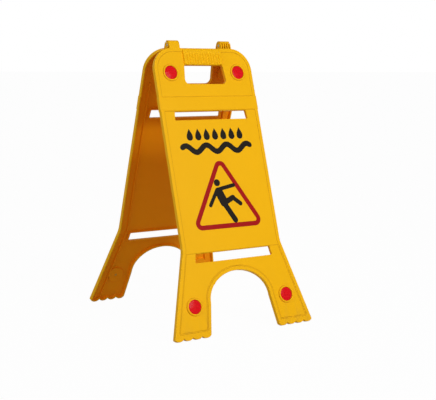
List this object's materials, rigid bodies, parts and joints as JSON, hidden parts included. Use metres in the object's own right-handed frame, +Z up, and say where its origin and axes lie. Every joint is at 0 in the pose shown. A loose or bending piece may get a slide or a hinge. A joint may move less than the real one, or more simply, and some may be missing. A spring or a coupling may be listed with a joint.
{
  "type": "wet floor sign",
  "caption": "Folding A-frame floor sign: two hinged hollow-backed plastic panels with a hand hole, slots, an arch between scalloped feet and round red reflectors.",
  "frame": {"origin": "on the floor, below the hinge axis, midway between the open panels", "axes": "+Z up, +X to the right as the front panel is seen, the front panel leans towards -Y and faces -Y"},
  "size_m": [0.352, 0.4218, 0.6216],
  "materials": {
    "panel": "yellow moulded polypropylene, satin",
    "reflector_lens": "clear red acrylic, prismatic back",
    "reflector_base": "ochre plastic",
    "hinge_pin": "plain steel pin",
    "print_black": "black ink printed on the face",
    "print_red": "red ink printed on the face"
  },
  "bodies": {
    "front": {"front_lower_left_reflector_base": "reflector_base", "front_lower_left_reflector_lens": "reflector_lens", "front_lower_right_reflector_base": "reflector_base", "front_lower_right_reflector_lens": "reflector_lens", "front_panel": "panel", "front_upper_left_reflector_base": "reflector_base", "front_upper_left_reflector_lens": "reflector_lens", "front_upper_right_reflector_base": "reflector_base", "front_upper_right_reflector_lens": "reflector_lens", "hinge_pin_right": "hinge_pin"},
    "rear": {"rear_lower_left_reflector_base": "reflector_base", "rear_lower_left_reflector_lens": "reflector_lens", "rear_lower_right_reflector_base": "reflector_base", "rear_lower_right_reflector_lens": "reflector_lens", "rear_panel": "panel", "rear_upper_left_reflector_base": "reflector_base", "rear_upper_left_reflector_lens": "reflector_lens", "rear_upper_right_reflector_base": "reflector_base", "rear_upper_right_reflector_lens": "reflector_lens", "hinge_pin_left": "hinge_pin"}
  },
  "joints": [
    {"name": "fold", "type": "hinge", "parent": "front", "child": "rear", "pos_m": [0, 0, 0.61144], "axis": [1, 0, 0], "range_deg": [-36.4, 0]}
  ]
}
